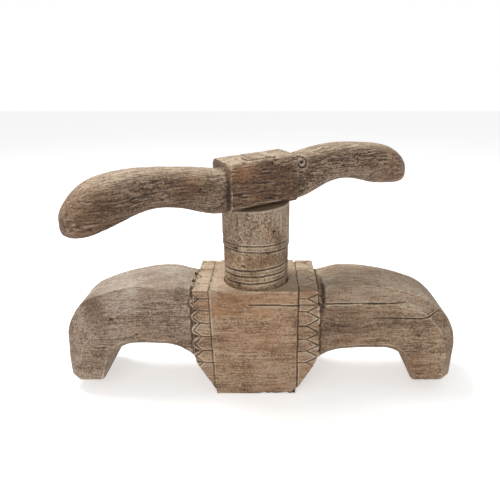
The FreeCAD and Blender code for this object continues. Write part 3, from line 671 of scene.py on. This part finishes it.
handle = Skin("cross_handle", "worn_cross_handle", VOXEL)
handle.wear_edges(4, 0.4 + 0.6 * ramp(layered(handle.points, (20.0, 20.0, 20.0), 7), -0.6, 0.5))
at = turned(handle.points, HANDLE_YAW)
front_top = ramp(np.abs(at[:, 0]), 42.0, 38.0) * ramp(at[:, 2], 218.0, 229.0) * ramp(at[:, 1], 4.0, -12.0)
handle.wear_edges(55, front_top)
at = turned(handle.points, HANDLE_YAW)
normal = handle.normals()
hewn = 0.5 * ramp(layered(at, (30.0, 16.0, 14.0), 41), -0.7, 0.9)
ridges = 0.2 * ramp(layered(at, (40.0, 1.9, 1.9), 43, 2), -0.8, 0.8)

# a knot beside the head, and a small hole in its front bevel
around = np.hypot(at[:, 0] - KNOT[0], at[:, 2] - KNOT[1]) + 1.1 * layered(at, (5.0, 5.0, 5.0), 101, 2)
in_front = at[:, 1] < 0.0
knot = in_front * (1.0 - ramp(np.abs(around - 4.6), 0.4, 1.5))
core = in_front * (1.0 - ramp(around, 0.6, 2.4))
from_hole = np.hypot(at[:, 0] - PILOT_HOLE[0], at[:, 2] - PILOT_HOLE[1])
pilot = (at[:, 1] < -8.0) * (1.0 - ramp(from_hole, 0.6, 1.6))
pits, pit_dark = pitted(at, in_front, 1.7, (
    (-20.0, 235.0, 1.6, 1.2), (12.0, 236.0, 1.8, 1.2), (24.0, 226.0, 1.2, 0.8), (-12.0, 222.0, 1.4, 0.7),
    (-27.0, 206.0, 2.0, 0.8), (-158.0, 190.0, 2.2, 1.2), (-148.0, 186.0, 1.8, 1.0), (-96.0, 208.0, 1.6, 0.9),
    (-62.0, 214.0, 1.4, 0.8), (120.0, 235.0, 1.5, 0.9), (140.0, 222.0, 1.5, 0.9), (88.0, 224.0, 1.2, 0.7),
))
on_head = ramp(np.abs(at[:, 0]), 38.0, 34.0) * ramp(-normal[:, 1], 0.3, 0.7)
fissures = ramp(layered(at, (10.0, 2.0, 1.7), 57), 0.0, 0.45) * (0.55 + 0.45 * on_head)
pits = np.maximum(pits, np.maximum(0.9 * knot, 1.6 * core) + 1.6 * pilot)
scar = np.clip(0.75 * pit_dark + 0.55 * knot + 0.7 * core + 0.9 * pilot, 0.0, 1.0)
scar = np.maximum(scar, 0.6 * fissures)
handle.cut(hewn + ridges + pits + 0.45 * fissures)
handle.mark_relief()
handle.mark("scar", scar)
rough = ramp(layered(at, (16.0, 16.0, 12.0), 47), -0.6, 0.4)
# painted shade on faces that turn downwards: strong on the head and left arm, light on the right arm
stain_and_shade = ramp(-normal[:, 2], -0.6, 0.4) * np.where(at[:, 0] > HEAD_END, 0.14, 0.55)
veins = ramp(layered(at, (13.0, 3.0, 2.6), 53), -0.35, 0.35)
pale_spot = patch(at, (28.0, -23.0, 226.0), (8.0, 12.0, 9.0))
stain_and_shade += on_head * (0.15 + 0.35 * rough + 0.5 * veins - 0.35 * pale_spot)
stain_and_shade += 0.3 * ramp(layered(at, (26.0, 6.0, 5.0), 59), -0.1, 0.5) * (np.abs(at[:, 0]) > HEAD_END)
stain_and_shade += 0.35 * patch(at, (-72.0, -14.0, 210.0), (18.0, 18.0, 12.0))
stain_and_shade += 0.35 * patch(at, (150.0, 0.0, 226.0), (16.0, 20.0, 14.0))
stain_and_shade += 0.7 * patch(at, (-156.0, 0.0, 196.0), (30.0, 34.0, 24.0))
handle.mark("stain_and_shade", np.clip(stain_and_shade, 0.0, 1.0))
warmth = on_head * (0.22 + patch(at, (-24.0, -23.0, 228.0), (11.0, 12.0, 7.0)))
warmth += 0.35 * ramp(np.abs(at[:, 0]), 120.0, 165.0)
handle.mark("warmth", np.clip(warmth, 0.0, 1.0))
handle.mark("cool", np.zeros(len(at)))
handle.finish(handle_wood, "plunger")

# ------------------------------------------------------------------ small pieces kept from CAD

for names, material in (
    (("tenon_wedges", "handle_peg"), wedge_wood),
    (("anvil_plate", "crusher_foot"), plate_iron),
    (("anvil_nails", "foot_pin"), nail_iron),
):
    for name in names:
        for place in nodes[name].material_slots:
            place.material = material

# ------------------------------------------------------------------ floor, light and camera

scene = bpy.context.scene
scene.view_settings.view_transform = "Standard"

FLOOR_HALF = 4.0
floor_mesh = bpy.data.meshes.new("floor")
corners = [(x * FLOOR_HALF, y * FLOOR_HALF, 0.0) for x, y in ((-1, -1), (1, -1), (1, 1), (-1, 1))]
floor_mesh.from_pydata(corners, [], [(0, 1, 2, 3)])
floor = bpy.data.objects.new("floor", floor_mesh)
scene.collection.objects.link(floor)
pale = Shader("pale_floor")
floor_mesh.materials.append(pale.out(
    Base_Color=(0.86, 0.86, 0.86, 1.0), Roughness=0.9,
    Emission_Color=(1.0, 1.0, 1.0, 1.0), Emission_Strength=0.45))

# white near the horizon, and darker overhead, so that the top faces are lit by the lamps
world = bpy.data.worlds.new("studio")
world.use_nodes = True
sky = world.node_tree
direction = sky.nodes.new("ShaderNodeTexCoord")
height = sky.nodes.new("ShaderNodeSeparateXYZ")
fall = sky.nodes.new("ShaderNodeMapRange")
fall.interpolation_type = "SMOOTHSTEP"
for key, value in (("From Min", 0.12), ("From Max", 0.45), ("To Min", 1.0), ("To Max", 0.48)):
    fall.inputs[key].default_value = value
sky.links.new(direction.outputs["Generated"], height.inputs[0])
sky.links.new(height.outputs["Z"], fall.inputs["Value"])
sky.links.new(fall.outputs["Result"], sky.nodes["Background"].inputs["Strength"])
sky.nodes["Background"].inputs["Color"].default_value = (1.0, 1.0, 1.0, 1.0)
scene.world = world


def softbox(name, place, aim, width, power, tint):
    """A square area light at `place` that faces `aim`."""
    lamp = bpy.data.lights.new(name, "AREA")
    lamp.size = width
    lamp.energy = power
    lamp.color = tint
    holder = bpy.data.objects.new(name, lamp)
    holder.location = place
    direction = np.array(aim) - np.array(place)
    flat = math.hypot(direction[0], direction[1])
    holder.rotation_euler = (
        math.atan2(flat, -direction[2]), 0.0, math.atan2(-direction[0], direction[1]))
    scene.collection.objects.link(holder)


softbox("top_light", (-0.45, 0.30, 1.15), (0.0, 0.0, 0.1), 0.5, 12.0, (1.0, 0.98, 0.95))
softbox("front_light", (-0.5, -1.6, 0.9), (0.0, 0.0, 0.1), 1.2, 9.0, (1.0, 0.97, 0.93))

camera_data = bpy.data.cameras.new("camera")
camera_data.sensor_width = 36.0
camera_data.lens = 37.44
camera_data.shift_x = -0.036
camera = bpy.data.objects.new("camera", camera_data)
camera.location = (0.012, -0.4916, 0.3117)
camera.rotation_euler = (math.radians(71.1), 0.0, 0.0)
scene.collection.objects.link(camera)
scene.camera = camera

bpy.context.view_layer.update()
